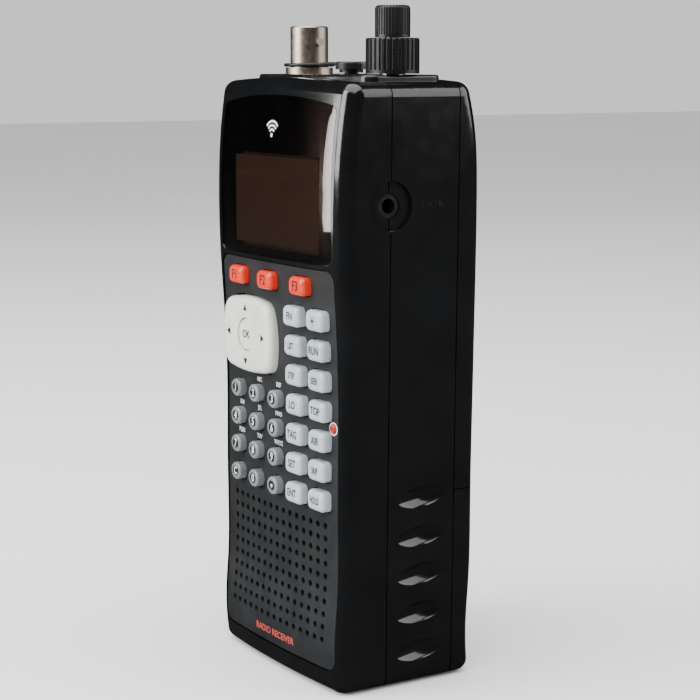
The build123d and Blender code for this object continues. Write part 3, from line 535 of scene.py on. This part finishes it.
def dress_panel():
    print_on("panel_caption", text_mesh("RADIO RECEIVER", CAPTION_HEIGHT, 1.0), "keypad_panel",
             0.0, CAPTION_Z, "case", INK_RED)
    x, _, z = centre("status_led")
    print_on("lamp_ring", ring_mesh("lamp_ring", 1.3 * MM, 1.62 * MM), "keypad_panel", x, z,
             "case", INK_WHITE)
    for name, inner in (("inner", 1.1), ("middle", 2.1), ("outer", 3.1)):
        arc = ring_mesh(name, inner * MM, (inner + ARC_WIDTH) * MM, 40, 140, 24)
        print_on(f"signal_arc_{name}", arc, "display_lens", 0.0, SIGNAL_Z, "case",
                 INK_WHITE)
    print_on("signal_dot", ring_mesh("dot", 0.02 * MM, 0.5 * MM), "display_lens", 0.0,
             SIGNAL_Z, "case", INK_WHITE)


def dress_side():
    """Moulded word beside the data jack."""
    y, z = JACK_WORD_AT
    mesh = text_mesh("DATA", 1.9 * MM)
    for vertex in mesh.vertices:
        py, pz = y + vertex.co.x, z + vertex.co.y
        px = side_surface("mid_shell", py, pz)
        vertex.co = (px + 0.06 * MM + vertex.co.z, py, pz)
    add_piece("data_word", mesh, "case", TRIM)


# ---------------------------------------------------------------- strap of the rubber cap
STRAP_BORE = 4.86 * MM
STRAP_CHAMFER = 0.25 * MM
STRAP_HALF_WIDE = 1.5 * MM
STRAP_OVERLAP = 0.9 * MM
STRAP_ARCH = 0.35 * MM


def add_strap():
    """Ring round the socket and a waisted, slightly arched strip from it to the cap, in one
    piece.
    """
    low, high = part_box("cap_tether")
    bnc_low, bnc_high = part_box("bnc_connector")
    hub = Vector(((bnc_low[0] + bnc_high[0]) / 2, (low[1] + high[1]) / 2, (low[2] + high[2]) / 2))
    inner, outer = STRAP_BORE, (high[1] - low[1]) / 2
    half_thick, half_wide = (high[2] - low[2]) / 2, STRAP_HALF_WIDE
    work = bmesh.new()
    segments = 64
    shoulder = outer - STRAP_CHAMFER
    profile = [(inner, -half_thick), (shoulder, -half_thick), (outer, 0),
               (shoulder, half_thick), (inner, half_thick)]
    loops = []
    for index in range(segments):
        angle = 2 * math.pi * index / segments
        loops.append([work.verts.new(hub + Vector((r * math.cos(angle), r * math.sin(angle), h)))
                      for r, h in profile])
    for index in range(segments):
        here, there = loops[index], loops[(index + 1) % segments]
        for k in range(len(profile)):
            m = (k + 1) % len(profile)
            work.faces.new((here[k], there[k], there[m], here[m]))
    start = hub.x + outer - STRAP_OVERLAP
    end = high[0]
    steps = 24
    section = [(-half_wide, -0.5), (-half_wide * 0.8, -1), (half_wide * 0.8, -1),
               (half_wide, -0.5), (half_wide, 0.5), (half_wide * 0.8, 1),
               (-half_wide * 0.8, 1), (-half_wide, 0.5)]
    rows = []
    for index in range(steps + 1):
        t = index / steps
        waist = 1 - 0.35 * math.sin(math.pi * t)
        lift = STRAP_ARCH * math.sin(math.pi * t)
        rows.append([work.verts.new((start + (end - start) * t, hub.y + w * waist,
                                     hub.z + lift + h * half_thick * 0.9)) for w, h in section])
    for index in range(steps):
        for k in range(len(section)):
            m = (k + 1) % len(section)
            work.faces.new((rows[index][k], rows[index + 1][k], rows[index + 1][m],
                            rows[index][m]))
    work.faces.new(rows[0])
    work.faces.new(list(reversed(rows[-1])))
    mesh = smooth_mesh("cap_strap", work)
    strap = bpy.data.objects.new("cap_strap", mesh)
    bpy.context.collection.objects.link(strap)
    mesh.materials.append(RUBBER)
    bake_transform(strap)
    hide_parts("cap_tether")


# ---------------------------------------------------------------- stage
def add_floor():
    bpy.ops.mesh.primitive_plane_add(size=8.0, location=(0, 0, -0.00002))
    floor = bpy.context.object
    floor.name = "floor"
    material, tree, shader = new_material("pale_floor")
    tree.links.new(tint(tree, noise(tree, 3.0, 2.0), (0.84, 0.845, 0.85), (0.87, 0.875, 0.88)),
                   shader.inputs["Base Color"])
    shader.inputs["Roughness"].default_value = 0.7
    out = tree.nodes["Material Output"]
    # Painted shade: for glossy rays the floor turns near-black, so the black gloss mirrors a dark
    # floor instead of the pale one.
    path = tree.nodes.new("ShaderNodeLightPath")
    mix = tree.nodes.new("ShaderNodeMixShader")
    unlit = tree.nodes.new("ShaderNodeBsdfDiffuse")
    unlit.inputs["Color"].default_value = (0.02, 0.02, 0.021, 1)
    tree.links.new(path.outputs["Is Glossy Ray"], mix.inputs[0])
    tree.links.new(shader.outputs["BSDF"], mix.inputs[1])
    tree.links.new(unlit.outputs["BSDF"], mix.inputs[2])
    tree.links.new(mix.outputs[0], out.inputs["Surface"])
    floor.data.materials.append(material)


add_camera()
add_world()
add_floor()
add_softbox("key_above", (0.08, -0.25, 0.85), (0, 0, 0.08), (1.3, 1.1), 16.0)
add_softbox("side_right", (0.55, 0.75, 0.55), (0, 0, 0.10), (0.9, 0.9), 7.0)
add_softbox("lens_strip", (-0.43, -0.43, 0.16), (0.02, -0.02, 0.125), (0.04, 0.22), 0.25)
add_softbox("front_left", (-0.25, -0.80, 0.40), (0, 0, 0.07), (0.5, 0.6), 9.0)
dress_nodes()
dress_keys()
dress_rocker()
add_nav_ridges()
dress_panel()
dress_side()
add_strap()
